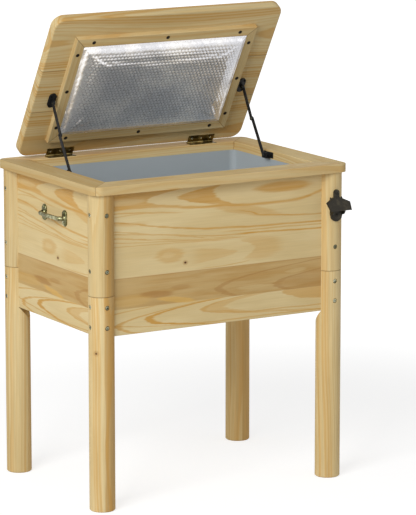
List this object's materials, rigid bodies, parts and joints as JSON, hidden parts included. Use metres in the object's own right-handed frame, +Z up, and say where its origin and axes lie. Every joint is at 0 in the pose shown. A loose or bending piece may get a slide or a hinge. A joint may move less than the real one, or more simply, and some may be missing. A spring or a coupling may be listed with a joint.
{
  "type": "patio cooler",
  "caption": "Insulated wooden patio cooler on round legs, with a hinged lid on folding stays, a grey tub with a drain, end handles and a bottle opener.",
  "frame": {"origin": "on the floor, midway between the four legs", "axes": "+Z up, front towards -Y, the box's long side along X"},
  "size_m": [0.7204, 0.5351, 1.1814],
  "materials": {
    "pine": "clear satin varnish on solid pine",
    "plywood": "sanded plywood",
    "foam": "rigid foam",
    "liner": "grey moulded sheet",
    "drain_plastic": "moulded",
    "antique_brass": "antique brass plate",
    "black_steel": "black enamel",
    "dark_screw": "dark bronze plate",
    "cast_iron": "dark bronze coat",
    "foil": "aluminium-faced bubble quilt"
  },
  "bodies": {
    "cabinet": {"front_panel": "pine", "back_panel": "pine", "left_panel": "pine", "right_panel": "pine", "rim_front": "pine", "rim_back": "pine", "rim_left": "pine", "rim_right": "pine", "upper_post_front_left": "pine", "upper_post_front_right": "pine", "upper_post_back_left": "pine", "upper_post_back_right": "pine", "lower_leg_front_left": "pine", "lower_leg_front_right": "pine", "lower_leg_back_left": "pine", "lower_leg_back_right": "pine", "bottom_panel": "plywood", "foam_front_back": "foam", "foam_ends": "foam", "foam_floor": "foam", "tub_liner": "liner", "drain_pipe": "drain_plastic", "drain_nut": "drain_plastic", "handle_left": "antique_brass", "hinge_rim_leaf_left": "antique_brass", "stay_rim_channel_left": "black_steel", "handle_right": "antique_brass", "hinge_rim_leaf_right": "antique_brass", "stay_rim_channel_right": "black_steel", "hinge_pins": "antique_brass", "rim_hinge_screws": "antique_brass", "handle_screws": "antique_brass", "stay_rim_rivets": "black_steel", "stay_rim_screws": "black_steel", "opener_screws": "black_steel", "post_screws": "dark_screw", "bottle_opener": "cast_iron"},
    "lid": {"lid_panel": "pine", "lid_strip_front": "pine", "lid_strip_back": "pine", "lid_strip_left": "pine", "lid_strip_right": "pine", "lid_strip_screws": "black_steel", "lid_foam": "foam", "foil_pad": "foil", "lid_hinge_screws": "antique_brass", "stay_lid_screws": "black_steel", "hinge_lid_leaf_left": "antique_brass", "hinge_lid_leaf_right": "antique_brass", "stay_lid_shoe_left": "black_steel", "stay_lid_shoe_right": "black_steel"},
    "drain_cap": {"drain_cap": "drain_plastic"},
    "stay_upper_left": {"stay_upper_link_left": "black_steel", "stay_rivets_left": "black_steel"},
    "stay_lower_left": {"stay_lower_link_left": "black_steel"},
    "stay_upper_right": {"stay_upper_link_right": "black_steel", "stay_rivets_right": "black_steel"},
    "stay_lower_right": {"stay_lower_link_right": "black_steel"}
  },
  "joints": [
    {"name": "lid_hinge", "type": "hinge", "parent": "cabinet", "child": "lid", "pos_m": [0, 0.2145, 0.8032], "axis": [1, 0, 0], "range_deg": [0, 59.2]},
    {"name": "drain_cap_turn", "type": "hinge", "parent": "cabinet", "child": "drain_cap", "pos_m": [-0.22, 0, 0.41], "axis": [0, 0, 1], "continuous": true},
    {"name": "stay_upper_pivot_left", "type": "hinge", "parent": "lid", "child": "stay_upper_left", "pos_m": [-0.2735, 0.11288, 0.95218], "axis": [1, 0, 0], "range_deg": [0, 57.9]},
    {"name": "stay_lower_pivot_left", "type": "hinge", "parent": "cabinet", "child": "stay_lower_left", "pos_m": [-0.2765, 0.018, 0.7895], "axis": [1, 0, 0], "range_deg": [-59.35, 0]},
    {"name": "stay_upper_pivot_right", "type": "hinge", "parent": "lid", "child": "stay_upper_right", "pos_m": [0.2735, 0.11288, 0.95218], "axis": [1, 0, 0], "range_deg": [0, 57.9]},
    {"name": "stay_lower_pivot_right", "type": "hinge", "parent": "cabinet", "child": "stay_lower_right", "pos_m": [0.2765, 0.018, 0.7895], "axis": [1, 0, 0], "range_deg": [-59.35, 0]}
  ],
  "couplings": [
    {"joint": "stay_upper_pivot_left", "follows": "lid_hinge", "ratio": 0.95887},
    {"joint": "stay_lower_pivot_left", "follows": "lid_hinge", "ratio": -0.98286},
    {"joint": "stay_upper_pivot_right", "follows": "lid_hinge", "ratio": 0.95887},
    {"joint": "stay_lower_pivot_right", "follows": "lid_hinge", "ratio": -0.98286}
  ]
}
